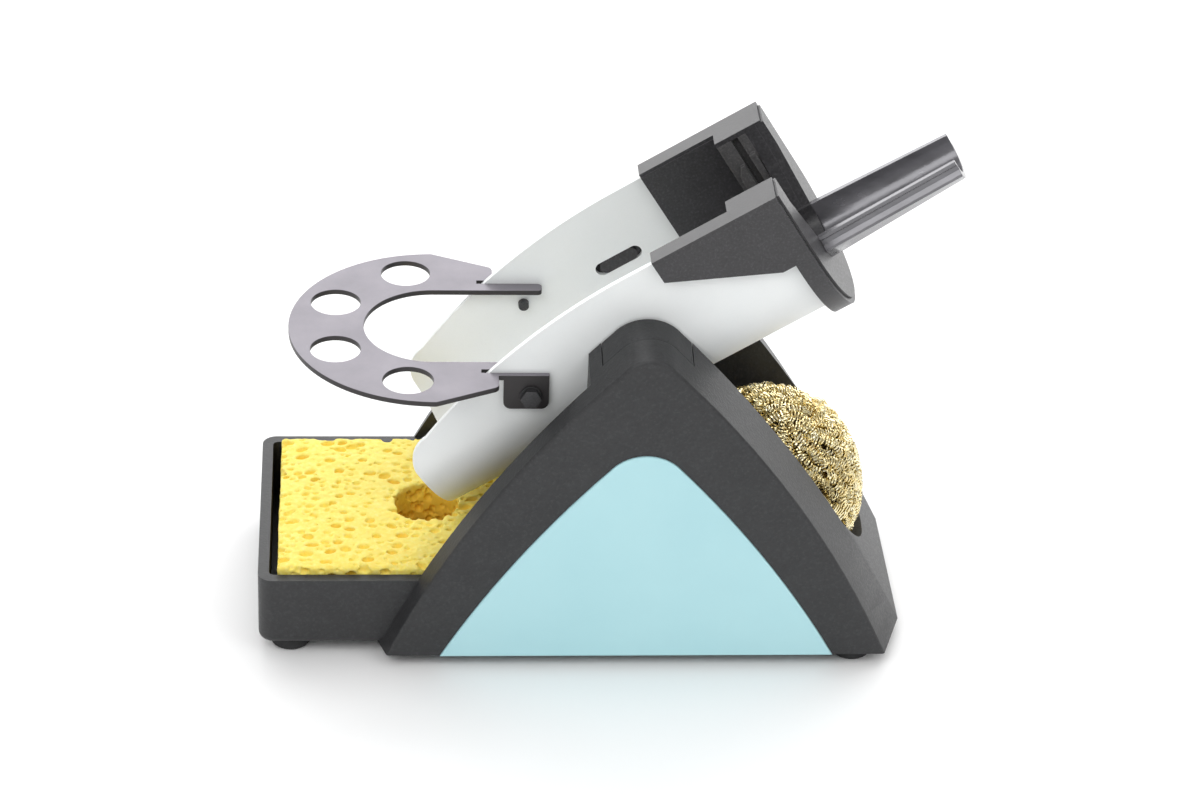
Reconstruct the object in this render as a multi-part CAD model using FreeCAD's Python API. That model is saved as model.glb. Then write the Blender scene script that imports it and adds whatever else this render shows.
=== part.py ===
"""Soldering iron station: A-frame base, sponge tray, brass wool, tilting iron holder.

Frame: millimetres, +Z up from the surface it stands on, +X from the sponge tray towards
the handle gutter, Y = 0 is the mirror plane.  The origin is the bottom centre of the box
around the whole station.
"""
import FreeCAD, Part
import math
import os

Vec = FreeCAD.Vector

# ---------------------------------------------------------------- driving dimensions
APEX_X = 9.0            # X of the pod apex and of the tilt axis
FOOT_H = 4.0            # rubber foot height; the housing starts on top of it
HALF_W = 42.0           # outer face of each pod, in Y
POD_IN = 25.0           # inner face of each pod, in Y
WALL_IN = 36.0          # inner face of the thin wall beside the sponge
STEP_X = -15.3          # where the thin wall becomes the full pod, from the apex
PIVOT_Z = 88.2          # tilt axis height
INCLINE = 32.3          # holder incline at rest, degrees

# pod side outline, from the apex centre: half widths and heights
POD_OUT = {"foot": 68.3, "mid": (42.8, 50.5), "shoulder": (7.0, 93.9), "apex": 97.6}
POD_INN = {"foot": 74.2, "mid": (46.8, 50.5), "shoulder": (9.0, 96.6), "apex": 100.8}
PANEL = {"foot": 53.8, "mid": (30.0, 40.0), "shoulder": (9.5, 64.0), "apex": 68.5}
PANEL_T = 2.0
PANEL_PROUD = 0.5
PANEL_GAP = 0.15
BAND_ROUND = 1.0        # round on the outer rim of each pod
HOLLOW_Y = (-38.6, -27.6)   # hollow inside each pod
HOLLOW_SKIN = 3.0
HOLLOW_END = 58.0
HOLLOW_TOP = 70.0
BALLAST_X = (3.0, 43.0)
BALLAST_Y = (-37.6, -28.6)
BALLAST_TOP = 34.0

TRAY_END = -103.2       # outer end of the tray, from the apex
TRAY_HALF = 36.5
TRAY_RIM = 25.0
TRAY_WALL = 3.0
TRAY_FLOOR = 7.0
TRAY_CORNER_R = 4.0
TRAY_LOW_R = 2.5
POCKET_CORNER_R = 1.5
SPONGE_TOP = 27.2       # stands a little above the tray rim
SPONGE_GAP = 0.35
SPONGE_END_GAP = 2.0    # at the outer end of the tray
SPONGE_HOLE_R = 9.0
SPONGE_CORNER_R = 2.0

BORE_X = 38.0           # centre of the wool bore, from the apex
BORE_Z = 35.0
BORE_R = 26.2
BORE_TILT = 30.0        # wool bore axis above the horizontal
WOOL_R = 25.7
WOOL_RY = 24.6
WOOL_OUT = 0.6          # brass wool centre beyond the bore centre, along the bore
BLOCK_TOP = 44.0

# holder channel, in its own frame: s along the channel, t across it, origin on the pivot
CHAN_RISE = 2.9         # channel centre line above the pivot
CHAN_R = 24.4
SHEET = 1.5
CHAN_LEFT = -70.5
CHAN_RIGHT = 47.7
CHAN_TOP = 21.2         # straight top edge above the centre line
EDGE_R = 180.0          # big arc of the top edge
EDGE_S = 8.0            # where that arc meets the straight edge
EDGE_END = -62.6
SLOT_LEN = 14.2
SLOT_W = 4.0
SLOT_S = -2.1
SLOT_T = 1.9            # above the centre line

HUB_R = 9.4
HUB_CLEAR = 0.1
HUB_END = 33.0
HUB_FACE = 24.5
HUB_END_GAP = 0.6
KEY_LEN = 11.4          # oblong key in the channel slot
CAP_HALF = 12.0
CAP_GAP = 0.15

PLATE_TOP = 83.7
PLATE_T = 1.5
PLATE_X = -55.7         # centre of the round head, from the apex
PLATE_R = 39.3
PLATE_IN_R = 19.0
TIP_R = 6.8
TIP_PITCH_R = 29.3
TIP_ANGLES = (25.0, 75.5)
ARM_END = -39.0
ARM_HALF = 31.6
TAB = (-37.6, -25.5)    # X span of each bent-down tab
TAB_LOW = 73.3
SCREW_AT = (-30.3, 77.4)
SCREW_R = 1.45
HEX_AF = 5.5

INS_LEFT = 16.2
INS_STEP = 39.3
INS_END = 53.2
INS_OUT = 27.2
RAIL_IN = 22.0
WIDE_IN = 16.0
RAIL_TOP = 22.9
CHEEK_LOW = 2.2         # lower corner of the outside cheeks
INS_GAP = 0.3
LINING_T = 1.5
CHEEK_START = 16.0      # height of the cheek's slant at the sleeve mouth
CHEEK_TURN = 44.2       # where the slant ends, along the channel
JAW_LOW = 2.0
JAW_RIB = 0.2           # raised pads on the jaws
JAW_GROOVE = (43.6, 45.6)
NOTCH_LOW = (9.4, -3.0)     # narrow end of the flange opening: half width, height
NOTCH_HIGH = 14.0
FLANGE_T = 5.2
FACE_R = 25.7           # face piece let into the flange
FACE_TOP = 22.3
FACE_DEEP = 1.8
FACE_PROUD = 0.7
GUTTER_END = 95.2
GUTTER_LIP = -3.0       # gutter rim, from the channel centre line
GUTTER_ROOT = (10.2, 10.2)  # outside half width and depth at the flange
GUTTER_TIP = (8.2, 8.5)     # the same at the free end
BORE_ROOT = (8.6, 8.6)      # inside of the gutter at the flange
BORE_TIP = (6.8, 7.0)
CURVE_K = 0.5523        # handle length of a quarter-round Bezier curve

FOOT_R = 5.5
FOOT_SINK = 1.0         # depth of each foot in the housing
FEET = {"foot_left_near": (-94.5, -28.5), "foot_left_far": (-94.5, 28.5),
        "foot_right_near": (60.0, -34.0), "foot_right_far": (60.0, 34.0)}
COVER_T = 2.0
COVER_X = (-9.0, 52.0)
COVER_HALF = 38.0
COVER_GAP = 0.1
POST = (3.2, 6.0)       # half sizes of the screw posts
POST_TOP = 14.0
FIT = 0.1               # gap between fitted parts
COVER_SCREWS = ((-4.0, -33.0), (-4.0, 33.0), (47.0, -33.0), (47.0, 33.0))


# ---------------------------------------------------------------- helpers
def save(name, shape):
    """Write one node, and stop if it is not made of valid closed solids."""
    if not shape.isValid() or not shape.Solids:
        raise RuntimeError("bad shape: " + name)
    out = shape.Solids[0] if len(shape.Solids) == 1 else Part.makeCompound(shape.Solids)
    out.exportStep("parts/" + name + ".step")
    box = out.BoundBox
    print("%-18s solids %d vol %9.1f  X %7.2f %7.2f  Y %7.2f %7.2f  Z %7.2f %7.2f" % (
        name, len(shape.Solids), out.Volume, box.XMin, box.XMax, box.YMin, box.YMax,
        box.ZMin, box.ZMax))


def block(x0, x1, y0, y1, z0, z1):
    return Part.makeBox(x1 - x0, y1 - y0, z1 - z0, Vec(x0, y0, z0))


def from_apex(shape):
    """Move a shape drawn from the apex line to its place."""
    return shape.translated(Vec(APEX_X, 0, 0))


def mirror_y(shape):
    return shape.mirror(Vec(0, 0, 0), Vec(0, 1, 0))


def both(shape):
    return [shape, mirror_y(shape)]


def fuse(shapes):
    out = shapes[0].fuse(shapes[1:]) if len(shapes) > 1 else shapes[0]
    return out.removeSplitter()


def arch_wire(dims, y, z0=FOOT_H, grow=0.0):
    """Closed arch outline in the plane at y: flat foot, two bowed flanks, round apex."""
    foot = Vec(dims["foot"] + grow, y, z0)
    mid = Vec(dims["mid"][0] + grow * 0.77, y, dims["mid"][1] + grow * 0.64)
    shoulder = Vec(dims["shoulder"][0] + grow * 0.7, y, dims["shoulder"][1] + grow * 0.7)
    apex = Vec(0, y, dims["apex"] + grow)

    def flip(p):
        return Vec(-p.x, p.y, p.z)

    edges = [Part.LineSegment(flip(foot), foot), Part.Arc(foot, mid, shoulder),
             Part.Arc(shoulder, apex, flip(shoulder)),
             Part.Arc(flip(shoulder), flip(mid), flip(foot))]
    return Part.Wire([e.toShape() for e in edges])


def arch_solid(dims, y0, y1, grow=0.0):
    face = Part.Face(arch_wire(dims, y0, grow=grow))
    return face.extrude(Vec(0, y1 - y0, 0))


def hex_prism(centre, af, height, along):
    """Hexagon of the given width across flats, extruded along a unit Y direction."""
    r = af / math.sqrt(3.0)
    pts = [centre + Vec(r * math.cos(math.radians(60 * i)), 0, r * math.sin(math.radians(60 * i)))
           for i in range(6)]
    face = Part.Face(Part.makePolygon(pts + [pts[0]]))
    return face.extrude(Vec(0, along * height, 0))


def rod(x, z, r, y0, y1):
    return Part.makeCylinder(r, y1 - y0, Vec(x, y0, z), Vec(0, 1, 0))


def place_holder(shape):
    """Take a shape from the holder's own frame to the row frame."""
    out = shape.copy()
    turn = FreeCAD.Rotation(Vec(0, 1, 0), -INCLINE)
    out.Placement = FreeCAD.Placement(Vec(APEX_X, 0, PIVOT_Z), turn)
    return out


def side_solid(points, y0, y1):
    """Prism of a straight-sided (s, t) outline between two Y planes."""
    pts = [Vec(s, y0, t) for s, t in points]
    return Part.Face(Part.makePolygon(pts + [pts[0]])).extrude(Vec(0, y1 - y0, 0))


# ---------------------------------------------------------------- base
def pod(sign):
    """One side pod: drafted band between the outer face and the wider inner face."""
    outer = arch_wire(POD_OUT, -HALF_W)
    inner = arch_wire(POD_INN, -POD_IN)
    shape = Part.makeLoft([inner, outer], True, True)
    rim = [e for e in shape.Edges
           if abs(e.BoundBox.YMin + HALF_W) < 1e-3 and abs(e.BoundBox.YMax + HALF_W) < 1e-3
           and e.BoundBox.ZMax > FOOT_H + 1]
    shape = shape.makeFillet(BAND_ROUND, rim)
    return mirror_y(shape) if sign > 0 else shape


def sponge_room():
    """Space over the sponge between the two thin walls."""
    return block(-120, STEP_X, -WALL_IN, WALL_IN, TRAY_RIM, 120)


def tray_outer():
    shape = block(TRAY_END, STEP_X + 4, -TRAY_HALF, TRAY_HALF, FOOT_H, TRAY_RIM)
    corners = [e for e in shape.Edges if abs(e.BoundBox.XMin - TRAY_END) < 1e-3
               and abs(e.BoundBox.XMax - TRAY_END) < 1e-3 and e.BoundBox.ZLength > 5]
    shape = shape.makeFillet(TRAY_CORNER_R, corners)
    low = [e for e in shape.Edges if e.BoundBox.ZLength < 1e-3
           and abs(e.BoundBox.ZMin - FOOT_H) < 1e-3 and e.BoundBox.XMax < STEP_X]
    return shape.makeFillet(TRAY_LOW_R, low)


def tray_pocket():
    shape = block(TRAY_END + TRAY_WALL, STEP_X, -TRAY_HALF + TRAY_WALL, TRAY_HALF - TRAY_WALL,
                  TRAY_FLOOR, TRAY_RIM + 1)
    corners = [e for e in shape.Edges if e.BoundBox.ZLength > 5 and e.BoundBox.XMax < -50]
    return shape.makeFillet(POCKET_CORNER_R, corners)


def bore_axis():
    tilt = math.radians(BORE_TILT)
    return Vec(math.cos(tilt), 0, math.sin(tilt))


def middle_block():
    """Cross block between the pods, with the sloping rear deck and the wool bore."""
    slab = arch_solid(POD_INN, -POD_IN, POD_IN)
    shape = slab.common(block(STEP_X, 90, -POD_IN, POD_IN, FOOT_H, BLOCK_TOP))
    shape = shape.cut(Part.makeSphere(BORE_R, Vec(BORE_X, 0, BORE_Z)))
    bore = Part.makeCylinder(BORE_R, 70, Vec(BORE_X, 0, BORE_Z), bore_axis())
    return shape.cut(bore)


def cap_zone(grow):
    """Box over the bearing in one pod that the bearing cap fills."""
    half = CAP_HALF + grow
    return block(-half, half, -HUB_END - grow, -POD_IN + 1, PIVOT_Z, 110)


def hub_space():
    return rod(0, PIVOT_Z, HUB_R + HUB_CLEAR, -HUB_END - HUB_END_GAP, -POD_IN + 5)


def base_housing():
    pods = [pod(-1), pod(1)]
    shape = fuse(pods + [middle_block(), tray_outer()])
    shape = shape.cut(sponge_room())
    shape = shape.cut(tray_pocket())
    cuts = []
    for sign in (-1, 1):
        recess = arch_solid(PANEL, -HALF_W - 1, -HALF_W + PANEL_T - PANEL_PROUD, PANEL_GAP)
        hollow = arch_solid(POD_OUT, HOLLOW_Y[0], HOLLOW_Y[1], -HOLLOW_SKIN)
        hollow = hollow.common(block(STEP_X + 4, HOLLOW_END, -HALF_W, 0, FOOT_H - 1, HOLLOW_TOP))
        group = [recess, hollow, cap_zone(CAP_GAP), hub_space()]
        cuts += group if sign < 0 else [mirror_y(s) for s in group]
    cuts.append(block(COVER_X[0] - COVER_GAP, COVER_X[1] + COVER_GAP, -COVER_HALF - COVER_GAP,
                      COVER_HALF + COVER_GAP, FOOT_H - 1, FOOT_H + COVER_T))
    for x, y in FEET.values():
        cuts.append(Part.makeCylinder(FOOT_R, FOOT_SINK, Vec(x, y, FOOT_H)))
    shape = shape.cut(cuts)
    for x, y in COVER_SCREWS:
        post = block(x - POST[0], x + POST[0], y - POST[1], y + POST[1], FOOT_H + COVER_T,
                     FOOT_H + POST_TOP)
        hole = Part.makeCylinder(1.25, 10.0, Vec(x, y, FOOT_H + COVER_T - 1))
        shape = shape.fuse(post).cut(hole)
    return from_apex(shape.removeSplitter())


def side_panel(sign):
    shape = arch_solid(PANEL, -HALF_W - PANEL_PROUD, -HALF_W + PANEL_T - PANEL_PROUD)
    rim = [e for e in shape.Edges if abs(e.BoundBox.YMin + HALF_W + PANEL_PROUD) < 1e-3
           and abs(e.BoundBox.YMax + HALF_W + PANEL_PROUD) < 1e-3]
    shape = shape.makeFillet(0.35, rim)
    return from_apex(mirror_y(shape) if sign > 0 else shape)


def bearing_cap(sign):
    """Arch that closes the bearing from above, flush with the drafted band."""
    shape = pod(-1).common(cap_zone(0.0)).cut(hub_space())
    return from_apex(mirror_y(shape) if sign > 0 else shape)


def ballast(sign):
    shape = block(BALLAST_X[0], BALLAST_X[1], BALLAST_Y[0], BALLAST_Y[1],
                  FOOT_H + COVER_T + 0.2, BALLAST_TOP)
    return from_apex(mirror_y(shape) if sign > 0 else shape)


def bottom_cover():
    shape = block(COVER_X[0], COVER_X[1], -COVER_HALF, COVER_HALF, FOOT_H, FOOT_H + COVER_T)
    shape = shape.makeFillet(2.0, [e for e in shape.Edges if e.BoundBox.ZLength > 1])
    for x, y in COVER_SCREWS:
        shape = shape.cut(Part.makeCylinder(1.6, 6, Vec(x, y, FOOT_H - 1)))
        shape = shape.cut(Part.makeCone(3.2, 1.6, 1.6, Vec(x, y, FOOT_H)))
    return from_apex(shape)


def cover_screws():
    parts = []
    for x, y in COVER_SCREWS:
        head = Part.makeCone(3.0, 1.4, 1.5, Vec(x, y, FOOT_H))
        shank = Part.makeCylinder(1.2, 9.0, Vec(x, y, FOOT_H + 0.5))
        drive = Part.makeCylinder(0.9, 0.8, Vec(x, y, FOOT_H - 0.1))
        parts.append(head.fuse(shank).cut(drive))
    return from_apex(Part.makeCompound(parts))


def foot(x, y):
    shape = Part.makeCylinder(FOOT_R, FOOT_H + FOOT_SINK, Vec(x, y, 0))
    ring = [e for e in shape.Edges if e.BoundBox.ZMax < 1e-3]
    return from_apex(shape.makeFillet(1.0, ring))


# ---------------------------------------------------------------- loose parts
def sponge():
    x0 = TRAY_END + TRAY_WALL + SPONGE_END_GAP
    x1 = STEP_X - SPONGE_GAP
    half = TRAY_HALF - TRAY_WALL - SPONGE_GAP
    shape = block(x0, x1, -half, half, TRAY_FLOOR, SPONGE_TOP)
    shape = shape.makeFillet(SPONGE_CORNER_R, [e for e in shape.Edges if e.BoundBox.ZLength > 5])
    hole = Part.makeCylinder(SPONGE_HOLE_R, 30, Vec((x0 + x1) / 2, 0, 0))
    return from_apex(shape.cut(hole))


def brass_wool():
    """Round pad, squeezed a little between the pods."""
    ball = Part.makeSphere(WOOL_R)
    squeeze = FreeCAD.Matrix()
    squeeze.scale(1.0, WOOL_RY / WOOL_R, 1.0)
    shape = ball.transformGeometry(squeeze)
    return from_apex(shape.translated(Vec(BORE_X, 0, BORE_Z) + bore_axis() * WOOL_OUT))


# ---------------------------------------------------------------- holder
def u_solid(radius, s0, s1, top):
    """Solid with a U section: half round below the centre line, straight sides above it."""
    centre = CHAN_RISE
    left = Vec(s0, -radius, centre)
    right = Vec(s0, radius, centre)
    low = Vec(s0, 0, centre - radius)
    high_l = Vec(s0, -radius, centre + top)
    high_r = Vec(s0, radius, centre + top)
    edges = [Part.Arc(left, low, right), Part.LineSegment(right, high_r),
             Part.LineSegment(high_r, high_l), Part.LineSegment(high_l, left)]
    wire = Part.Wire([e.toShape() for e in edges])
    return Part.Face(wire).extrude(Vec(s1 - s0, 0, 0))


def channel_side():
    """Side outline of the channel: square handle end, bowed top edge, round tip end."""
    low = CHAN_RISE - CHAN_R - 1
    top = CHAN_RISE + CHAN_TOP

    def edge(s):
        drop = EDGE_R - math.sqrt(EDGE_R ** 2 - (EDGE_S - s) ** 2)
        return Vec(s, -40, top - drop)

    corner = Vec(CHAN_LEFT, -40, CHAN_RISE - 1.0)
    lines = [Part.LineSegment(Vec(CHAN_LEFT, -40, low), corner),
             Part.Arc(corner, Vec(CHAN_LEFT + 2.3, -40, CHAN_RISE + 4.0), edge(EDGE_END)),
             Part.Arc(edge(EDGE_END), edge((EDGE_END + EDGE_S) / 2), edge(EDGE_S)),
             Part.LineSegment(edge(EDGE_S), Vec(CHAN_RIGHT, -40, top)),
             Part.LineSegment(Vec(CHAN_RIGHT, -40, top), Vec(CHAN_RIGHT, -40, low)),
             Part.LineSegment(Vec(CHAN_RIGHT, -40, low), Vec(CHAN_LEFT, -40, low))]
    wire = Part.Wire([e.toShape() for e in lines])
    return Part.Face(wire).extrude(Vec(0, 80, 0))


def oblong(length, width, y0, y1):
    """Round-ended bar along s at the height of the side slots."""
    half = length / 2 - width / 2
    t = CHAN_RISE + SLOT_T
    bar = block(SLOT_S - half, SLOT_S + half, y0, y1, t - width / 2, t + width / 2)
    ends = [rod(SLOT_S + sign * half, t, width / 2, y0, y1) for sign in (-1, 1)]
    return fuse([bar] + ends)


def screw_holes():
    """Holes in the channel walls for the two tab screws, in the row frame."""
    x, z = SCREW_AT
    return from_apex(rod(x, z, SCREW_R + 0.05, -40, 40))


def trough_channel():
    shape = u_solid(CHAN_R, CHAN_LEFT, CHAN_RIGHT, 40)
    shape = shape.cut(u_solid(CHAN_R - SHEET, CHAN_LEFT - 1, CHAN_RIGHT + 1, 50))
    shape = shape.common(channel_side())
    shape = shape.cut(oblong(SLOT_LEN, SLOT_W, -40, 40))
    return place_holder(shape).cut(screw_holes())


def pivot_hub(sign):
    """Round hub that turns in the pod, with an oblong key that fills the channel slot."""
    disc = rod(0, 0, HUB_R, -HUB_END, -HUB_FACE)
    key = oblong(KEY_LEN, SLOT_W - FIT, -HUB_FACE - 1, -CHAN_R + SHEET)
    shape = fuse([disc, key])
    return place_holder(mirror_y(shape) if sign > 0 else shape)


def tip_plate():
    """Horseshoe plate with four tip holes, seated over the channel walls."""
    z0 = PLATE_TOP - PLATE_T
    head = Part.makeCylinder(PLATE_R, PLATE_T, Vec(PLATE_X, 0, z0))
    head = head.common(block(-120, PLATE_X, -50, 50, z0, PLATE_TOP))
    arm = Part.makePolygon([Vec(PLATE_X, -PLATE_R, z0), Vec(ARM_END, -ARM_HALF, z0),
                            Vec(ARM_END, -PLATE_IN_R, z0), Vec(PLATE_X, -PLATE_IN_R, z0),
                            Vec(PLATE_X, -PLATE_R, z0)])
    arm = Part.Face(arm).extrude(Vec(0, 0, PLATE_T))
    corner = [e for e in arm.Edges if e.BoundBox.ZLength > 1
              and abs(e.BoundBox.YMin + ARM_HALF) < 0.01]
    arm = arm.makeFillet(2.0, corner)
    inner = block(ARM_END, TAB[1], -CHAN_R + SHEET + FIT, -PLATE_IN_R, z0, PLATE_TOP)
    ends = [e for e in inner.Edges if e.BoundBox.ZLength > 1 and e.BoundBox.XMin > TAB[1] - 0.1]
    inner = inner.makeFillet(1.2, ends)
    tab_in = -CHAN_R - FIT
    neck = block(ARM_END - 1, TAB[1], tab_in - PLATE_T, tab_in, z0, PLATE_TOP)
    tab = block(TAB[0], TAB[1], tab_in - PLATE_T, tab_in, TAB_LOW, PLATE_TOP)
    round_low = [e for e in tab.Edges if e.BoundBox.YLength > 1 and e.BoundBox.ZMax < TAB_LOW + 0.1]
    tab = tab.makeFillet(2.0, round_low)
    shape = fuse([head] + [s for piece in (arm, inner, neck, tab) for s in both(piece)])
    cuts = [Part.makeCylinder(PLATE_IN_R, 9, Vec(PLATE_X, 0, z0 - 4))]
    wall = block(ARM_END - 4.5, -10, -CHAN_R - FIT, -CHAN_R + SHEET + FIT, z0 - 1, PLATE_TOP + 1)
    cuts += both(wall)
    for angle in TIP_ANGLES:
        a = math.radians(angle)
        for sign in (-1, 1):
            at = Vec(PLATE_X - TIP_PITCH_R * math.cos(a), sign * TIP_PITCH_R * math.sin(a), z0 - 4)
            cuts.append(Part.makeCylinder(TIP_R, 9, at))
    cuts.append(rod(SCREW_AT[0], SCREW_AT[1], SCREW_R + 0.05, -40, 40))
    return from_apex(shape.cut(cuts).removeSplitter())


def tab_screws():
    """Two flanged hex screws, one through each tab into the channel wall."""
    x, z = SCREW_AT
    seat = -CHAN_R - FIT - PLATE_T
    shank = rod(x, z, SCREW_R, seat, -CHAN_R + SHEET + 1.8)
    collar = rod(x, z, 3.0, seat - 0.5, seat)
    head = hex_prism(Vec(x, seat - 0.5, z), HEX_AF * 0.9, 1.7, -1)
    screw = fuse([shank, collar, head])
    return from_apex(Part.makeCompound(both(screw)))


# ---------------------------------------------------------------- insert
def holder_insert():
    """Moulded sleeve over the channel end: lining, top rails and outside cheeks."""
    lining = u_solid(CHAN_R - SHEET - INS_GAP, INS_LEFT, INS_END - FLANGE_T, RAIL_TOP - 1)
    lining = lining.cut(u_solid(CHAN_R - SHEET - INS_GAP - LINING_T, INS_LEFT - 1, 80, 50))
    base = CHAN_RISE
    top = base + RAIL_TOP
    flange_s = INS_END - FLANGE_T
    rail = block(INS_LEFT, flange_s, -INS_OUT, -RAIL_IN + 0.6, base + CHAN_TOP + INS_GAP, top)
    wide = block(INS_STEP, flange_s, -INS_OUT, -WIDE_IN, base + CHAN_TOP + INS_GAP, top)
    cheek = side_solid([(INS_LEFT, top), (INS_LEFT, base + CHEEK_START),
                        (CHEEK_TURN, base + CHEEK_LOW), (flange_s, base + CHEEK_LOW),
                        (flange_s, top)], -INS_OUT, -CHAN_R - INS_GAP)
    ring = flange_disc(INS_OUT, RAIL_TOP, flange_s, INS_END).cut(flange_notch())
    ring = ring.cut(flange_disc(FACE_R + FIT, FACE_TOP, INS_END - FACE_DEEP, INS_END + 1))
    shape = fuse([lining, ring] + [s for piece in (rail, wide, cheek) for s in both(piece)])
    return place_holder(shape)


def jaw(sign):
    """Grip block on the inside of the sleeve, with a cross groove and a chamfered foot."""
    base = CHAN_RISE
    s1 = INS_END - FLANGE_T
    top = base + CHAN_TOP + INS_GAP
    back = -(CHAN_R - SHEET - INS_GAP - LINING_T)
    body = block(INS_STEP, s1, back, -WIDE_IN, base + JAW_LOW, top)
    body = body.cut(block(JAW_GROOVE[0], JAW_GROOVE[1], -WIDE_IN - 2.2, -WIDE_IN + 1, base, top + 1))
    first, last = JAW_GROOVE[0] - JAW_RIB, JAW_GROOVE[1] + JAW_RIB
    mouth = side_solid([(INS_STEP + 1.2, base + JAW_LOW), (first, base + JAW_LOW),
                        (first, base + 13.5), (first - 1.2, base + 13.5),
                        (INS_STEP + 1.2, base + 10.0)], -WIDE_IN - JAW_RIB, -WIDE_IN + 1.2)
    inner = side_solid([(last, base + 4.0), (s1 - 0.3, base + 4.0), (s1 - 0.3, base + 15.5),
                        (last, base + 15.5)], -WIDE_IN - JAW_RIB, -WIDE_IN + 1.2)
    shape = body.fuse([mouth, inner])
    shape = shape.removeSplitter()
    return place_holder(mirror_y(shape) if sign > 0 else shape)


def flange_disc(radius, top, s0, s1):
    """Round flange outline with a square horn at each rail."""
    base = CHAN_RISE
    disc = Part.makeCylinder(radius, s1 - s0, Vec(s0, 0, base), Vec(1, 0, 0))
    horn = block(s0, s1, -radius, -WIDE_IN, base + CHEEK_LOW, base + top)
    shape = fuse([disc] + both(horn))
    return shape.common(block(0, 99, -radius, radius, -60, base + top))


def flange_notch():
    """Opening through the flange: wide between the rails, narrowing to the gutter."""
    base = CHAN_RISE
    s0 = INS_END - FLANGE_T - 1
    half, low = NOTCH_LOW
    side = [(WIDE_IN, base + 30), (WIDE_IN, base + NOTCH_HIGH), (half, base + low)]
    pts = side + [(-y, t) for y, t in reversed(side)]
    poly = [Vec(s0, y, t) for y, t in pts]
    notch = Part.Face(Part.makePolygon(poly + [poly[0]])).extrude(Vec(FLANGE_T + 4, 0, 0))
    return notch.fuse(trough(8.6, 7.0, s0, s0 + FLANGE_T + 4, 8.6, 7.0))


def trough(half0, depth0, s0, s1, half1, depth1):
    """Tapered half-round bar: flat top, semi-elliptic underside."""
    wires = []
    for s, half, depth in ((s0, half0, depth0), (s1, half1, depth1)):
        t = CHAN_RISE + GUTTER_LIP
        k = CURVE_K
        curve = Part.BezierCurve()
        curve.setPoles([Vec(s, -half, t), Vec(s, -half, t - depth * k * 1.2),
                        Vec(s, -half * k * 1.1, t - depth), Vec(s, 0, t - depth)])
        other = Part.BezierCurve()
        other.setPoles([Vec(s, 0, t - depth), Vec(s, half * k * 1.1, t - depth),
                        Vec(s, half, t - depth * k * 1.2), Vec(s, half, t)])
        lid = Part.LineSegment(Vec(s, half, t), Vec(s, -half, t))
        wires.append(Part.Wire([curve.toShape(), other.toShape(), lid.toShape()]))
    return Part.makeLoft(wires, True, True)


def gutter_outline(s, half, depth):
    """Outside section of the gutter: lip, side groove, lower ledge and sloping underside."""
    t = CHAN_RISE + GUTTER_LIP
    side = [(half, t), (half, t - 0.9), (half - 0.9, t - 1.7), (half - 0.9, t - 3.0),
            (half + 0.2, t - 4.1), (half + 0.2, t - 4.8), (half * 0.62, t - depth + 1.0),
            (half * 0.25, t - depth)]
    pts = [Vec(s, y, z) for y, z in side] + [Vec(s, -y, z) for y, z in reversed(side)]
    return Part.makePolygon(pts + [pts[0]])


def holder_flange():
    """Face piece let into the round end flange, a little proud of it."""
    shape = flange_disc(FACE_R, FACE_TOP - FIT, INS_END - FACE_DEEP, INS_END + FACE_PROUD)
    return place_holder(shape.cut(flange_notch()).removeSplitter())


def handle_gutter():
    """Tapered open gutter that carries the iron's handle."""
    s0 = INS_END + FACE_PROUD
    outer = Part.makeLoft([gutter_outline(s0, *GUTTER_ROOT), gutter_outline(GUTTER_END, *GUTTER_TIP)],
                          True, True)
    inner = trough(*BORE_ROOT, s0 - 1, GUTTER_END + 1, *BORE_TIP)
    lid = CHAN_RISE + GUTTER_LIP
    inner = inner.fuse(block(s0 - 1, GUTTER_END + 1, -BORE_TIP[0], BORE_TIP[0], lid - 0.1, lid + 3))
    return place_holder(outer.cut(inner))


# ---------------------------------------------------------------- build
def main():
    os.makedirs("parts", exist_ok=True)
    save("base_housing", base_housing())
    save("bottom_cover", bottom_cover())
    save("cover_screws", cover_screws())
    for name, sign in (("near", -1), ("far", 1)):
        save("side_panel_" + name, side_panel(sign))
        save("bearing_cap_" + name, bearing_cap(sign))
        save("ballast_" + name, ballast(sign))
        save("pivot_hub_" + name, pivot_hub(sign))
        save("jaw_" + name, jaw(sign))
    for name, (x, y) in FEET.items():
        save(name, foot(x, y))
    save("sponge", sponge())
    save("brass_wool", brass_wool())
    save("trough_channel", trough_channel())
    save("tip_plate", tip_plate())
    save("tab_screws", tab_screws())
    save("holder_insert", holder_insert())
    save("holder_flange", holder_flange())
    save("handle_gutter", handle_gutter())


main()
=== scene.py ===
"""Soldering iron station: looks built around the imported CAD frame.  Units are metres."""
import bpy
import bmesh
import math
import numpy as np
import openvdb
from mathutils import Matrix, Vector


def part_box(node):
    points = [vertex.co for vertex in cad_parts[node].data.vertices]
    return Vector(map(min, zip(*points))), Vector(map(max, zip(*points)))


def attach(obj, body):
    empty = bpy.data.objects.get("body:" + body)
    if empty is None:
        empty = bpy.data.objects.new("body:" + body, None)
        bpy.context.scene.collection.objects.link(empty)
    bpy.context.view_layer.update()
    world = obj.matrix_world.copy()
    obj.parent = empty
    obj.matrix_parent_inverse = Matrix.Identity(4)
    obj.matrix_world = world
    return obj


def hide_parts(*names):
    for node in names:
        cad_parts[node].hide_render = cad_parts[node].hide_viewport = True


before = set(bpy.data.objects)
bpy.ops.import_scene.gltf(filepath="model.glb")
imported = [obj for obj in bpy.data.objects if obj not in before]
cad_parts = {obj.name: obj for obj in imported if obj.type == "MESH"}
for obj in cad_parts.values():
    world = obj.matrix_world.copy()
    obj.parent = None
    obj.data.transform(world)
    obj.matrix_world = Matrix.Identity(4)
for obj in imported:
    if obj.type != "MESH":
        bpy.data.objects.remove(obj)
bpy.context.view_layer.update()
MM = 0.001
SEED = 41
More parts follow.
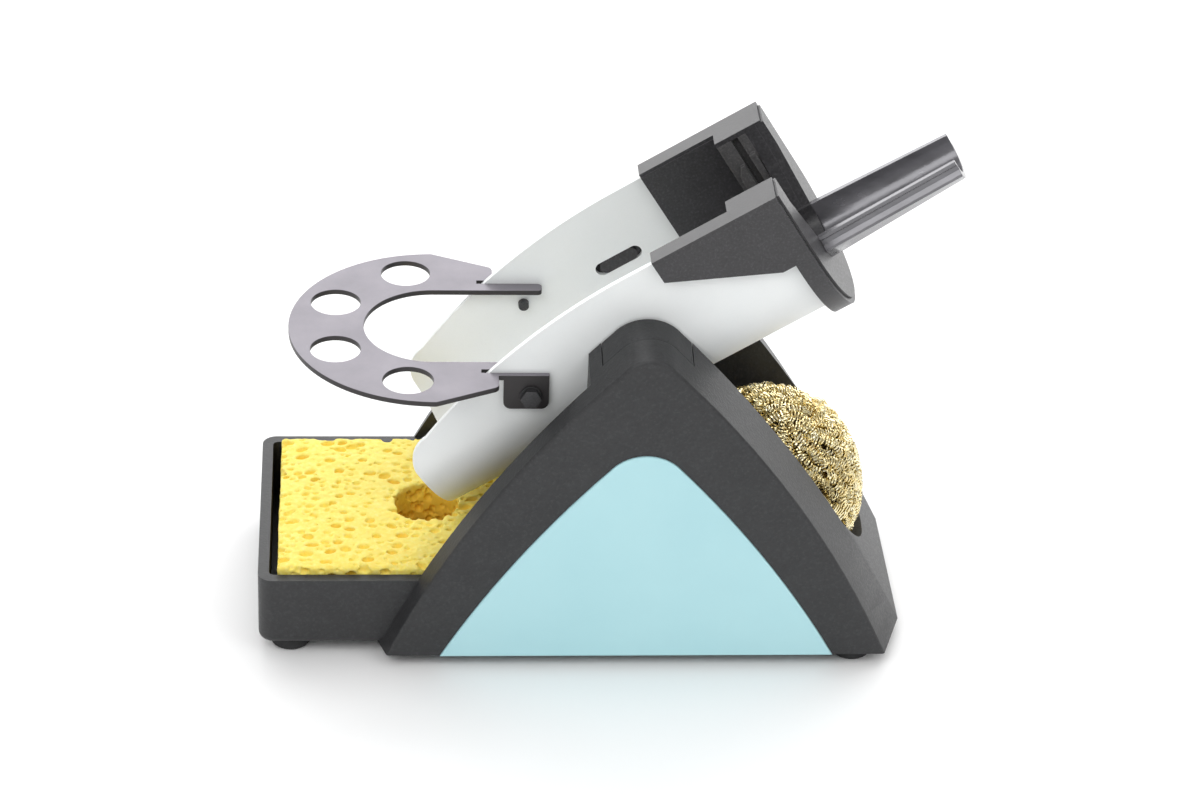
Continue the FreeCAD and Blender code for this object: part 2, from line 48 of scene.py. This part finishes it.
SPONGE_STEP = 0.35      # voxel size, in millimetres like the rest of this group
SPONGE_INSET = 0.35     # the cut surface lies this far inside the CAD block
SPONGE_EDGE_R = 0.8
SPONGE_HOLE_R = 9.0
# axis, side and number of tries, for the pores of each face of the sponge
PORE_TRIES = ((2, 1, 1000), (2, -1, 500), (1, -1, 330), (1, 1, 330), (0, -1, 280), (0, 1, 280))
# pore sizes, largest first: share of the tries that ends each band, and its range of radii
PORE_BANDS = ((0.12, 1.1, 1.6), (0.4, 0.65, 1.1), (1.0, 0.35, 0.65))
PORE_APART = 1.08       # least distance between pores, in sums of their radii
HOLE_PORES = 240
HOLE_PORE_R = (0.4, 1.4)
BORE_R = 25.7
BORE_TILT = 30.0        # degrees above the horizontal
POD_HALF = 24.75        # half the room for the wool between the pods
SWELL = 0.07            # how far the wool may bulge past its ellipsoid on the free side
CORE_SCALE = 0.87
# number of curls, depth below the surface, turns and ribbon width, for each layer of wool
WOOL_LAYERS = ((950, 1.25, 6.0, 0.36), (700, 2.6, 6.0, 0.42))
COIL_R = (0.95, 1.45)
RIBBON_HALF_T = 0.06
POINTS_PER_TURN = 11
FLOOR_HALF = 3.0        # metres


# ---------------------------------------------------------------- node helpers
class Shader:
    """A Principled material with short calls for the nodes used here."""

    def __init__(self, name, color, rough, metal=0.0):
        self.mat = bpy.data.materials.new(name)
        self.mat.use_nodes = True
        self.tree = self.mat.node_tree
        self.bsdf = self.tree.nodes["Principled BSDF"]
        self.bsdf.inputs["Base Color"].default_value = (*color, 1.0)
        self.bsdf.inputs["Roughness"].default_value = rough
        self.bsdf.inputs["Metallic"].default_value = metal
        self.coords = self.tree.nodes.new("ShaderNodeTexCoord").outputs["Object"]

    def node(self, kind, **inputs):
        made = self.tree.nodes.new(kind)
        for key, value in inputs.items():
            socket = made.inputs[key.replace("_", " ")]
            if isinstance(value, bpy.types.NodeSocket):
                self.tree.links.new(value, socket)
            else:
                socket.default_value = value
        return made

    def noise(self, size, detail=3.0, rough=0.55, stretch=None):
        """Noise whose features are about size metres across."""
        vector = self.coords
        if stretch is not None:
            mapping = self.node("ShaderNodeMapping", Vector=vector)
            mapping.inputs["Scale"].default_value = stretch
            vector = mapping.outputs["Vector"]
        made = self.node("ShaderNodeTexNoise", Vector=vector, Scale=1.0 / size)
        made.inputs["Detail"].default_value = detail
        made.inputs["Roughness"].default_value = rough
        return made.outputs["Fac"]

    def spots(self, size):
        made = self.node("ShaderNodeTexVoronoi", Vector=self.coords, Scale=1.0 / size)
        return made.outputs["Distance"]

    def ramp(self, value, stops):
        made = self.node("ShaderNodeValToRGB", Fac=value)
        band = made.color_ramp
        while len(band.elements) < len(stops):
            band.elements.new(0.5)
        for element, (at, color) in zip(band.elements, stops):
            element.position = at
            element.color = (*color, 1.0)
        return made.outputs["Color"]

    def remap(self, value, low, high, to_low, to_high):
        made = self.node("ShaderNodeMapRange", Value=value)
        made.inputs["From Min"].default_value = low
        made.inputs["From Max"].default_value = high
        made.inputs["To Min"].default_value = to_low
        made.inputs["To Max"].default_value = to_high
        return made.outputs["Result"]

    def mix(self, factor, first, second):
        made = self.tree.nodes.new("ShaderNodeMix")
        made.data_type = "RGBA"
        for socket, value in ((made.inputs[0], factor), (made.inputs[6], first),
                              (made.inputs[7], second)):
            if isinstance(value, bpy.types.NodeSocket):
                self.tree.links.new(value, socket)
            elif socket == made.inputs[0]:
                socket.default_value = value
            else:
                socket.default_value = (*value, 1.0)
        return made.outputs[2]

    def edges(self, radius):
        """1 along the edges and 0 on flat faces."""
        rounded = self.node("ShaderNodeBevel", Radius=radius)
        rounded.samples = 4
        plain = self.node("ShaderNodeNewGeometry").outputs["Normal"]
        made = self.tree.nodes.new("ShaderNodeVectorMath")
        made.operation = "DOT_PRODUCT"
        self.tree.links.new(rounded.outputs["Normal"], made.inputs[0])
        self.tree.links.new(plain, made.inputs[1])
        return self.remap(made.outputs["Value"], 0.995, 0.90, 0.0, 1.0)

    def color(self, socket):
        self.tree.links.new(socket, self.bsdf.inputs["Base Color"])

    def roughness(self, socket):
        self.tree.links.new(socket, self.bsdf.inputs["Roughness"])

    def bump(self, *layers):
        """Stack bumps: each layer is (height socket, distance in metres, strength)."""
        normal = None
        for height, distance, strength in layers:
            made = self.node("ShaderNodeBump", Height=height, Distance=distance,
                             Strength=strength)
            if normal is not None:
                self.tree.links.new(normal, made.inputs["Normal"])
            normal = made.outputs["Normal"]
        self.tree.links.new(normal, self.bsdf.inputs["Normal"])

    def set(self, **values):
        for key, value in values.items():
            self.bsdf.inputs[key.replace("_", " ")].default_value = value
        return self


# ---------------------------------------------------------------- materials
def textured_plastic(name, dark, light, rough, grain=0.8 * MM, depth=0.09 * MM):
    """Moulded plastic with a fine spark-eroded grain and a painted highlight that makes it a little
    paler along its edges.
    """
    s = Shader(name, dark, rough)
    blotch = s.noise(9 * MM, 4)
    fine = s.noise(grain, 3, 0.65)
    body = s.mix(s.remap(blotch, 0.3, 0.7, 0.0, 1.0), dark, light)
    body = s.mix(s.remap(fine, 0.52, 0.70, 0.0, 0.5), body, tuple(c * 2.1 for c in light))
    body = s.mix(s.remap(fine, 0.46, 0.32, 0.0, 0.5), body, tuple(c * 0.55 for c in dark))
    # painted highlight: the colour is lightened along the edges
    edge_highlight = s.node("ShaderNodeMath", Value=s.edges(0.35 * MM))
    edge_highlight.operation = "MULTIPLY"
    edge_highlight.inputs[1].default_value = 0.3
    s.color(s.mix(edge_highlight.outputs["Value"], body, tuple(c * 2.0 for c in light)))
    s.roughness(s.remap(fine, 0.3, 0.7, rough - 0.08, rough + 0.10))
    s.bump((s.noise(grain * 4, 3), depth * 0.8, 0.3), (fine, depth, 0.8))
    return s.mat


def panel_plastic():
    s = Shader("panel_plastic", (0.45, 0.73, 0.78), 0.36)
    cloud = s.noise(30 * MM, 3)
    s.color(s.ramp(cloud, [(0.3, (0.435, 0.715, 0.765)), (0.7, (0.465, 0.745, 0.79))]))
    fine = s.noise(0.5 * MM, 2)
    s.roughness(s.remap(fine, 0.3, 0.7, 0.32, 0.42))
    s.bump((fine, 0.012 * MM, 0.3))
    s.set(Specular_IOR_Level=0.45)
    return s.mat


def coated_sheet():
    """Light grey satin powder coat over steel."""
    s = Shader("coated_sheet", (0.84, 0.86, 0.86), 0.36, 0.1)
    cloud = s.noise(22 * MM, 3)
    peel = s.noise(0.9 * MM, 2, 0.5)
    fine = s.noise(0.28 * MM, 2, 0.6)
    base = s.ramp(cloud, [(0.3, (0.83, 0.855, 0.855)), (0.7, (0.865, 0.885, 0.88))])
    base = s.mix(s.remap(fine, 0.56, 0.74, 0.0, 0.2), base, (0.68, 0.70, 0.70))
    # painted highlight: the colour is lightened along the edges of the sheet
    s.color(s.mix(s.edges(0.2 * MM), base, (0.93, 0.94, 0.935)))
    s.roughness(s.remap(fine, 0.3, 0.7, 0.33, 0.47))
    s.bump((peel, 0.03 * MM, 0.25), (fine, 0.015 * MM, 0.4))
    return s.mat


def plate_coat():
    """Dark satin coating on laser-cut steel, with painted shade on the faces that do not face up.
    """
    s = Shader("plate_coat", (0.2, 0.19, 0.21), 0.4, 0.55)
    cloud = s.noise(14 * MM, 4)
    fine = s.noise(0.4 * MM, 3, 0.6)
    base = s.ramp(cloud, [(0.3, (0.20, 0.188, 0.212)), (0.7, (0.25, 0.235, 0.262))])
    base = s.mix(s.remap(fine, 0.5, 0.75, 0.0, 0.3), base, (0.30, 0.285, 0.31))
    # painted shade: faces that do not face up, the cut edges and the hole sides, are darkened to
    # near black
    side = s.node("ShaderNodeSeparateXYZ",
                  Vector=s.node("ShaderNodeNewGeometry").outputs["True Normal"])
    flat = s.remap(side.outputs["Z"], 0.2, 0.75, 0.0, 1.0)
    s.color(s.mix(flat, (0.045, 0.042, 0.043), base))
    s.roughness(s.remap(fine, 0.3, 0.7, 0.36, 0.5))
    s.bump((fine, 0.02 * MM, 0.4))
    return s.mat


def gloss_grey():
    """Polished dark grey moulding with faint flow marks along it."""
    s = Shader("gloss_grey", (0.16, 0.16, 0.17), 0.22, 0.45)
    flow = s.noise(2.2 * MM, 3, 0.5, (0.12, 1.0, 0.5))
    s.color(s.ramp(flow, [(0.3, (0.13, 0.128, 0.138)), (0.75, (0.20, 0.197, 0.212))]))
    s.roughness(s.remap(flow, 0.3, 0.7, 0.17, 0.28))
    s.bump((flow, 0.05 * MM, 0.2), (s.noise(0.5 * MM, 2), 0.006 * MM, 0.3))
    s.set(Coat_Weight=0.3, Coat_Roughness=0.08)
    return s.mat


def rubber():
    s = Shader("foot_rubber", (0.02, 0.02, 0.021), 0.8)
    fine = s.noise(0.6 * MM, 3)
    s.color(s.ramp(fine, [(0.3, (0.016, 0.016, 0.017)), (0.7, (0.032, 0.032, 0.033))]))
    s.roughness(s.remap(fine, 0.3, 0.7, 0.7, 0.9))
    s.bump((fine, 0.05 * MM, 0.5))
    return s.mat


def bare_metal(name, color, rough, metal=1.0):
    s = Shader(name, color, rough, metal)
    fine = s.noise(0.35 * MM, 3)
    s.color(s.mix(s.remap(fine, 0.35, 0.7, 0.0, 1.0), color,
                  tuple(min(1.0, c * 1.5) for c in color)))
    s.roughness(s.remap(fine, 0.3, 0.7, rough - 0.08, rough + 0.1))
    s.bump((fine, 0.02 * MM, 0.4))
    return s.mat


def sponge_skin():
    """Damp cellulose: bright yellow cell walls, with painted shade of deeper orange down in the
    pores and the hole.
    """
    s = Shader("sponge_cellulose", (0.95, 0.70, 0.09), 0.75)
    cell = s.noise(1.3 * MM, 4, 0.6)
    broad = s.noise(11 * MM, 3)
    base = s.ramp(cell, [(0.28, (0.93, 0.70, 0.085)), (0.5, (0.96, 0.78, 0.15)),
                         (0.74, (0.98, 0.86, 0.29))])
    base = s.mix(s.remap(broad, 0.35, 0.7, 0.0, 0.3), base, (0.97, 0.83, 0.22))
    # painted shade: the colour turns deeper orange with depth below the block's outer faces
    depth = s.tree.nodes.new("ShaderNodeAttribute")
    depth.attribute_name = "depth"
    base = s.mix(s.remap(depth.outputs["Fac"], 0.35, 1.9, 0.0, 0.7), base, (0.93, 0.62, 0.03))
    s.color(s.mix(s.remap(depth.outputs["Fac"], 2.0, 9.0, 0.0, 0.35), base, (0.88, 0.47, 0.035)))
    s.roughness(s.remap(cell, 0.3, 0.7, 0.62, 0.9))
    s.bump((s.noise(0.75 * MM, 4, 0.65), 0.14 * MM, 0.55), (s.spots(0.9 * MM), 0.1 * MM, 0.4))
    s.set(Subsurface_Weight=0.15, Subsurface_Scale=0.8 * MM)
    s.bsdf.inputs["Subsurface Radius"].default_value = (1.0, 0.6, 0.15)
    return s.mat


def brass_ribbon():
    """Bright brass at the surface of the pad, with painted shade turning it dark brown down between
    the curls.
    """
    s = Shader("brass_ribbon", (0.92, 0.78, 0.42), 0.22, 1.0)
    cloud = s.noise(2.6 * MM, 3)
    bright = s.ramp(cloud, [(0.25, (0.80, 0.60, 0.24)), (0.5, (0.96, 0.84, 0.48)),
                            (0.75, (1.0, 0.96, 0.76))])
    depth = s.tree.nodes.new("ShaderNodeAttribute")
    depth.attribute_name = "depth"
    # painted shade: ribbons deeper in the pad are mixed towards dark brown
    s.color(s.mix(s.remap(depth.outputs["Fac"], 1.3, 3.2, 0.0, 1.0), bright, (0.20, 0.11, 0.025)))
    s.roughness(s.remap(cloud, 0.3, 0.7, 0.16, 0.28))
    s.bump((s.noise(0.3 * MM, 2), 0.015 * MM, 0.4))
    return s.mat


# ---------------------------------------------------------------- mesh helpers
def from_mesh(name, mesh, material, body, slot, *nodes, smooth=35.0):
    """Make a piece of the object from a mesh and tie it to its body."""
    obj = bpy.data.objects.new(name, mesh)
    bpy.context.scene.collection.objects.link(obj)
    mesh.materials.clear()
    mesh.materials.append(material)
    mesh.shade_smooth()
    if smooth is not None:
        mesh.set_sharp_from_angle(angle=math.radians(smooth))
    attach(obj, body)
    if nodes:
        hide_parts(*nodes)
    return obj


def cleaned_copy(node):
    """The node's mesh with merged corners and whole flat faces."""
    bm = bmesh.new()
    bm.from_mesh(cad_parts[node].data)
    bmesh.ops.remove_doubles(bm, verts=bm.verts, dist=0.002 * MM)
    bmesh.ops.dissolve_degenerate(bm, dist=0.002 * MM, edges=bm.edges)
    bmesh.ops.dissolve_limit(bm, angle_limit=math.radians(0.6), verts=bm.verts,
                             edges=bm.edges, delimit={"NORMAL"})
    mesh = bpy.data.meshes.new(node + "_looks")
    bm.to_mesh(mesh)
    bm.free()
    return mesh


def refined(node, material, body, slot, bevel=0.3, segments=3, limit=32.0):
    """A CAD part with its real small edge radii, standing for its plain node."""
    obj = from_mesh(node + "_part", cleaned_copy(node), material, body, slot, node, smooth=None)
    made = obj.modifiers.new("edge_radius", "BEVEL")
    made.width = bevel * MM
    made.segments = segments
    made.limit_method = "ANGLE"
    made.angle_limit = math.radians(limit)
    made.use_clamp_overlap = True
    made.harden_normals = False
    made.miter_outer = "MITER_ARC"
    flat = obj.modifiers.new("flat_faces", "WEIGHTED_NORMAL")
    flat.keep_sharp = False
    flat.weight = 100
    return obj


# ---------------------------------------------------------------- stage and camera
def stage():
    size = FLOOR_HALF
    mesh = bpy.data.meshes.new("floor")
    mesh.from_pydata([(-size, -size, 0), (size, -size, 0), (size, size, 0), (-size, size, 0)],
                     [], [(0, 1, 2, 3)])
    floor = bpy.data.objects.new("floor", mesh)
    bpy.context.scene.collection.objects.link(floor)
    s = Shader("floor_white", (0.95, 0.95, 0.95), 0.7)
    cloud = s.noise(0.5, 2)
    s.color(s.ramp(cloud, [(0.3, (0.95, 0.95, 0.95)), (0.7, (0.97, 0.97, 0.97))]))
    mesh.materials.append(s.mat)
    world = bpy.data.worlds.new("studio")
    world.use_nodes = True
    world.node_tree.nodes["Background"].inputs["Color"].default_value = (1.0, 1.0, 1.0, 1.0)
    world.node_tree.nodes["Background"].inputs["Strength"].default_value = 0.5
    bpy.context.scene.world = world
    bpy.context.scene.view_settings.view_transform = "Standard"


def area_light(name, at, target, size, power):
    light = bpy.data.lights.new(name, "AREA")
    light.shape = "RECTANGLE"
    light.size = size[0]
    light.size_y = size[1]
    light.energy = power
    obj = bpy.data.objects.new(name, light)
    obj.location = at
    obj.rotation_euler = (Vector(target) - Vector(at)).to_track_quat("-Z", "Y").to_euler()
    bpy.context.scene.collection.objects.link(obj)


def lights():
    middle = (0.0, 0.0, 0.06)
    area_light("key", (-0.45, -0.65, 0.85), middle, (0.8, 0.6), 4.2)
    area_light("fill", (0.65, -0.6, 0.75), middle, (0.6, 0.5), 1.9)
    area_light("top", (0.1, 0.35, 0.95), middle, (1.1, 0.8), 5.0)
    area_light("wall", (0.1, 1.5, 0.5), middle, (3.6, 1.1), 34.0)


def camera():
    """The viewing direction, roll, distance and lens of the reference view."""
    azimuth, elevation, roll = (math.radians(x) for x in (-4.68, 31.74, 2.53))
    distance = 0.992
    target = Vector((-0.0007, 0.0, 0.060))
    back = Vector((math.sin(azimuth) * math.cos(elevation),
                   -math.cos(azimuth) * math.cos(elevation), math.sin(elevation)))
    right = Vector((math.cos(azimuth), math.sin(azimuth), 0.0))
    up = back.cross(right)
    c, s = math.cos(roll), math.sin(roll)
    right, up = c * right + s * up, c * up - s * right
    data = bpy.data.cameras.new("camera")
    data.sensor_width = 36.0
    data.lens = 108.15
    data.clip_start = 0.05
    data.clip_end = 20.0
    cam = bpy.data.objects.new("camera", data)
    turn = Matrix((right, up, back)).transposed().to_4x4()
    cam.matrix_world = Matrix.Translation(target + back * distance) @ turn
    bpy.context.scene.collection.objects.link(cam)
    bpy.context.scene.camera = cam


# ---------------------------------------------------------------- sponge
def smooth_noise(shape, cell, rng):
    """Trilinear value noise on a grid, about -1 to 1, with features of cell samples."""
    dims = [int(n / cell) + 3 for n in shape]
    coarse = rng.uniform(-1, 1, dims)
    out = coarse
    for axis, n in enumerate(shape):
        at = np.arange(n) / cell
        low = at.astype(int)
        part = at - low
        part = part * part * (3 - 2 * part)
        view = [1, 1, 1]
        view[axis] = n
        part = part.reshape(view)
        out = np.take(out, low, axis) * (1 - part) + np.take(out, low + 1, axis) * part
    return out


def carve(field, origin, step, centre, radii, turn):
    """Take an ellipsoid, turned about Z, out of a distance field (millimetres)."""
    reach = max(radii) + 1.0
    lo = [max(0, int((centre[i] - reach - origin[i]) / step)) for i in range(3)]
    hi = [min(field.shape[i], int((centre[i] + reach - origin[i]) / step) + 2) for i in range(3)]
    if any(a >= b for a, b in zip(lo, hi)):
        return
    axes = [origin[i] + step * np.arange(lo[i], hi[i]) - centre[i] for i in range(3)]
    x, y, z = np.meshgrid(*axes, indexing="ij")
    c, s = math.cos(turn), math.sin(turn)
    u = (c * x + s * y) / radii[0]
    v = (c * y - s * x) / radii[1]
    w = z / radii[2]
    hole = (np.sqrt(u * u + v * v + w * w) - 1.0) * min(radii)
    part = field[lo[0]:hi[0], lo[1]:hi[1], lo[2]:hi[2]]
    np.maximum(part, -hole, out=part)


def sponge():
    """Open-cell block: a distance field with pores carved out of every face."""
    rng = np.random.default_rng(SEED)
    low, high = (np.array(c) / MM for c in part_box("sponge"))
    step = SPONGE_STEP
    pad = 3 * step
    origin = low - pad
    shape = tuple(int(n) for n in np.ceil((high - low + 2 * pad) / step))
    axes = [origin[i] + step * np.arange(shape[i]) for i in range(3)]
    x, y, z = np.meshgrid(*axes, indexing="ij")
    mid, half = (low + high) / 2, (high - low) / 2
    inset, corner = SPONGE_INSET, SPONGE_EDGE_R
    q = [np.abs(p - mid[i]) - (half[i] - inset - corner) for i, p in enumerate((x, y, z))]
    outside = np.sqrt(sum(np.maximum(a, 0) ** 2 for a in q))
    field = outside + np.minimum(np.maximum(np.maximum(q[0], q[1]), q[2]), 0) - corner
    field = np.maximum(field, SPONGE_HOLE_R - np.hypot(x - mid[0], y - mid[1]))
    field += 0.15 * smooth_noise(shape, 9.0 / step, rng)
    field += 0.11 * smooth_noise(shape, 1.5 / step, rng)
    field += 0.09 * smooth_noise(shape, 0.8 / step, rng)
    size = high - low
    for axis, side, count in PORE_TRIES:
        placed = np.empty((0, 4))
        for number in range(count):
            at = low + size * rng.uniform(0, 1, 3)
            band = next(b for b in PORE_BANDS if number < b[0] * count)
            big = rng.uniform(band[1], band[2])
            apart = np.linalg.norm((placed[:, :3] - at) * (np.arange(3) != axis), axis=1)
            if (apart < (placed[:, 3] + big) * PORE_APART).any():
                continue
            placed = np.vstack([placed, [*at, big]])
            radii = [big * rng.uniform(1.0, 1.45), big * rng.uniform(0.6, 0.95), big * 0.9]
            radii[axis] = big * rng.uniform(0.8, 1.1)
            face = (high if side > 0 else low)[axis]
            at[axis] = face - side * (inset + radii[axis] * rng.uniform(0.05, 0.55))
            carve(field, origin, step, at, radii, rng.normal(0.1, 0.35))
    for _ in range(HOLE_PORES):
        a = rng.uniform(0, 2 * math.pi)
        at = np.array([mid[0] + SPONGE_HOLE_R * math.cos(a), mid[1] + SPONGE_HOLE_R * math.sin(a),
                       rng.uniform(low[2], high[2])])
        big = rng.uniform(*HOLE_PORE_R)
        carve(field, origin, step, at, (big, big * 0.8, big * 0.9), a)
    grid = openvdb.FloatGrid(3.0)
    grid.copyFromArray(np.clip(field, -3, 3).astype(np.float32))
    grid.transform = openvdb.createLinearTransform(voxelSize=step)
    points, quads = grid.convertToQuads(0.0)
    points = (np.asarray(points) + origin) * MM
    mesh = bpy.data.meshes.new("sponge_cells")
    mesh.from_pydata(points.tolist(), [], np.asarray(quads)[:, ::-1].tolist())
    keep_largest(mesh)
    inside = np.empty(len(mesh.vertices) * 3)
    mesh.vertices.foreach_get("co", inside)
    inside = inside.reshape(-1, 3) / MM
    depth = (half - inset - np.abs(inside - mid)).min(1)
    mesh.attributes.new("depth", "FLOAT", "POINT").data.foreach_set("value", np.maximum(depth, 0))
    obj = from_mesh("sponge_block", mesh, sponge_skin(), "sponge_pad", "sponge", "sponge",
                    smooth=None)


def keep_largest(mesh):
    """Delete the crumbs that carving leaves loose, and any flipped shell."""
    bm = bmesh.new()
    bm.from_mesh(mesh)
    bm.verts.ensure_lookup_table()
    seen = set()
    groups = []
    for start in bm.verts:
        if start.index in seen:
            continue
        group = []
        stack = [start]
        seen.add(start.index)
        while stack:
            v = stack.pop()
            group.append(v)
            for edge in v.link_edges:
                other = edge.other_vert(v)
                if other.index not in seen:
                    seen.add(other.index)
                    stack.append(other)
        groups.append(group)
    groups.sort(key=len)
    for group in groups[:-1]:
        bmesh.ops.delete(bm, geom=group, context="VERTS")
    bmesh.ops.recalc_face_normals(bm, faces=bm.faces)
    bm.to_mesh(mesh)
    bm.free()


# ---------------------------------------------------------------- brass wool
def even_directions(count, rng):
    """Directions spread evenly over the sphere, each shaken a little."""
    k = np.arange(count) + 0.5
    h = 1 - 2 * k / count
    spin = math.pi * (1 + 5 ** 0.5) * k
    r = np.sqrt(1 - h * h)
    out = np.stack([r * np.cos(spin), r * np.sin(spin), h], 1)
    out += rng.normal(0, 0.9 / math.sqrt(count), out.shape)
    return out / np.linalg.norm(out, axis=1)[:, None]


def unit(v):
    return v / np.linalg.norm(v, axis=-1)[..., None]


def curls(rng, radii, count, inset, turns, width):
    """Short helices of flat ribbon lying on the pad in loose swirls, in millimetres."""
    samples = int(turns * POINTS_PER_TURN)
    out = even_directions(count, rng)
    flow = np.stack([np.sin(4 * out[:, 1] + 1), np.cos(3 * out[:, 2] + 2 * out[:, 0]),
                     np.sin(5 * out[:, 0] + 2)], 1)
    run = unit(np.cross(out, flow + rng.normal(0, 0.5, out.shape)))
    side = np.cross(out, run)
    one = (count, 1, 1)
    bend = rng.normal(0, 0.12, one)
    lift = rng.normal(0, 0.25, one)
    t = np.linspace(-0.5, 0.5, samples)[None, :, None]
    length = rng.uniform(0.72, 1.05, one) * turns
    coil_r = rng.uniform(*COIL_R, one) * (1 + 0.15 * np.sin(t * 9 + bend * 60))
    phase = 2 * math.pi * turns * t * rng.choice([-1, 1], one) + rng.uniform(0, 6.3, one)
    phase = phase + 0.6 * np.sin(t * 17 + bend * 90)
    run, side, out = run[:, None], side[:, None], out[:, None]
    along = unit(run + side * bend * 4 * t + out * (lift - t * length / 25.0))
    level = unit(np.cross(along, out))
    up = np.cross(level, along)
    spine = out * (radii - inset + rng.uniform(-0.6, 0.45, one)) + run * t * length
    spine = spine + side * bend * length * t * t * 4 + out * (lift * t * 1.6)
    spine = spine - out * (t * length) ** 2 / 50.0
    ring = up * np.cos(phase) + level * np.sin(phase)
    line = spine + ring * coil_r
    w = along * (width / 2) * rng.uniform(0.75, 1.2, one)
    thick = ring * RIBBON_HALF_T
    four = np.stack([line - w - thick, line + w - thick, line + w + thick, line - w + thick], 2)
    first = np.arange(count)[:, None, None] * samples * 4
    a = first + np.arange(samples - 1)[None, :, None] * 4
    k = np.arange(4)[None, None, :]
    n = (k + 1) % 4
    quads = np.stack([a + k, a + n, a + 4 + n, a + 4 + k], 3).reshape(-1, 4)
    start = first[:, 0] + np.array([[3, 2, 1, 0]])
    stop = first[:, 0] + (samples - 1) * 4 + np.array([[0, 1, 2, 3]])
    return four.reshape(-1, 3), np.concatenate([quads, start, stop])


def fit_in_bore(points, radii):
    """Swell the pad where it is free and press it in where the bore and the pods hold it."""
    tilt = math.radians(BORE_TILT)
    axis = np.array([math.cos(tilt), 0.0, math.sin(tilt)])
    down = np.array([math.sin(tilt), 0.0, -math.cos(tilt)])
    reach = np.sqrt(((points / radii) ** 2).sum(1))
    aim = points / radii / np.maximum(reach, 1e-6)[:, None]
    free = np.clip((aim @ -down - 0.15) * 2.5, 0, 1) * np.clip((0.85 - np.abs(aim[:, 1])) * 4, 0, 1)
    crown = np.clip(aim @ np.array([-0.26, 0.0, 0.966]), 0, 1) ** 6
    points = points * (1 + 0.045 * crown * free)[:, None]
    reach = np.sqrt(((points / radii) ** 2).sum(1))
    points = points * np.minimum(1.0, (1.0 + SWELL * free) / np.maximum(reach, 1e-6))[:, None]
    rise = (points @ axis)[:, None]
    off = points - rise * axis
    mouth = np.clip((rise[:, 0] - 2) / 8, 0, 1) * np.clip((aim @ down) * 1.6 + 0.3, 0, 1)
    off = off * (1 + 0.13 * mouth)[:, None]
    wide = np.linalg.norm(off, axis=1)
    held = 1 - free
    off = off * (1 - held * (1 - np.minimum(1.0, BORE_R / np.maximum(wide, 1e-6))))[:, None]
    points = rise * axis + off
    points[:, 1] = np.clip(points[:, 1], -POD_HALF, POD_HALF)
    return points


def brass_wool():
    rng = np.random.default_rng(SEED + 1)
    low, high = (np.array(c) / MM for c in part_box("brass_wool"))
    centre, radii = (low + high) / 2, (high - low) / 2
    layers = WOOL_LAYERS
    verts, faces, base = [], [], 0
    for count, inset, turns, width in layers:
        v, f = curls(rng, radii, count, inset, turns, width)
        verts.append(v)
        faces.append(f + base)
        base += len(v)
    verts = np.concatenate(verts)
    depth = (1 - np.sqrt(((verts / radii) ** 2).sum(1))) * radii[0]
    verts = (fit_in_bore(verts, radii) + centre) * MM
    mesh = bpy.data.meshes.new("wool_curls")
    mesh.from_pydata(verts.tolist(), [], np.concatenate(faces).tolist())
    mesh.attributes.new("depth", "FLOAT", "POINT").data.foreach_set("value", np.maximum(depth, 0))
    from_mesh("brass_wool_curls", mesh, brass_ribbon(), "wool_pad", "brass_wool", "brass_wool",
              smooth=40.0)
    bm = bmesh.new()
    bmesh.ops.create_icosphere(bm, subdivisions=5, radius=1.0)
    around = np.array([v.co.normalized() for v in bm.verts])
    dent = 0.02 * np.sin(40 * around[:, 0] + 3 * around[:, 1]) * np.sin(37 * around[:, 1])
    around = fit_in_bore(around * radii, radii) * (CORE_SCALE + dent)[:, None]
    for v, at in zip(bm.verts, (around + centre) * MM):
        v.co = at
    core = bpy.data.meshes.new("wool_core")
    bm.to_mesh(core)
    bm.free()
    s = Shader("brass_shadow", (0.12, 0.07, 0.02), 0.6, 0.5)
    s.color(s.ramp(s.noise(1.2 * MM, 4), [(0.35, (0.02, 0.012, 0.004)), (0.7, (0.16, 0.10, 0.03))]))
    s.bump((s.noise(0.8 * MM, 3), 0.3 * MM, 1.0))
    from_mesh("brass_wool_core", core, s.mat, "wool_pad", "brass_wool", "brass_wool", smooth=None)


# ---------------------------------------------------------------- parts from the frame
def parts():
    housing = textured_plastic("housing_plastic", (0.019, 0.0195, 0.021),
                               (0.025, 0.0255, 0.027), 0.46)
    insert = textured_plastic("insert_plastic", (0.032, 0.031, 0.033), (0.040, 0.039, 0.042), 0.38,
                              0.7 * MM, 0.03 * MM)
    jaw = textured_plastic("jaw_plastic", (0.062, 0.060, 0.061), (0.074, 0.072, 0.073), 0.5,
                           0.7 * MM, 0.04 * MM)
    refined("base_housing", housing, "base", "housing", 0.5)
    for side in ("near", "far"):
        refined("bearing_cap_" + side, housing, "base", "bearing_cap", 0.6)
        refined("side_panel_" + side, panel_plastic(), "base", "panel", 0.12, 2)
        refined("pivot_hub_" + side, insert, "holder", "hub", 0.2, 2)
        refined("ballast_" + side, bare_metal("ballast_" + side, (0.16, 0.16, 0.165), 0.55),
                "base", "ballast", 0.5)
        refined("jaw_" + side, jaw, "insert", "insert", 0.15, 2)
    refined("bottom_cover", housing, "base", "cover", 0.3)
    refined("cover_screws", bare_metal("zinc_screw", (0.45, 0.45, 0.46), 0.32), "base", "screw",
            0.1, 2)
    foot = rubber()
    for name in ("left_near", "left_far", "right_near", "right_far"):
        refined("foot_" + name, foot, "base", "rubber", 0.15, 2)
    refined("trough_channel", coated_sheet(), "holder", "coated_sheet", 0.22)
    refined("tip_plate", plate_coat(), "holder", "plate", 0.12, 2)
    refined("tab_screws", bare_metal("black_screw", (0.06, 0.06, 0.062), 0.4, 0.8), "holder",
            "black_screw", 0.15, 2)
    refined("holder_insert", insert, "insert", "insert", 0.3)
    refined("holder_flange", insert, "insert", "insert", 0.35)
    refined("handle_gutter", gloss_grey(), "insert", "gutter", 0.2)


camera()
stage()
lights()
parts()
sponge()
brass_wool()
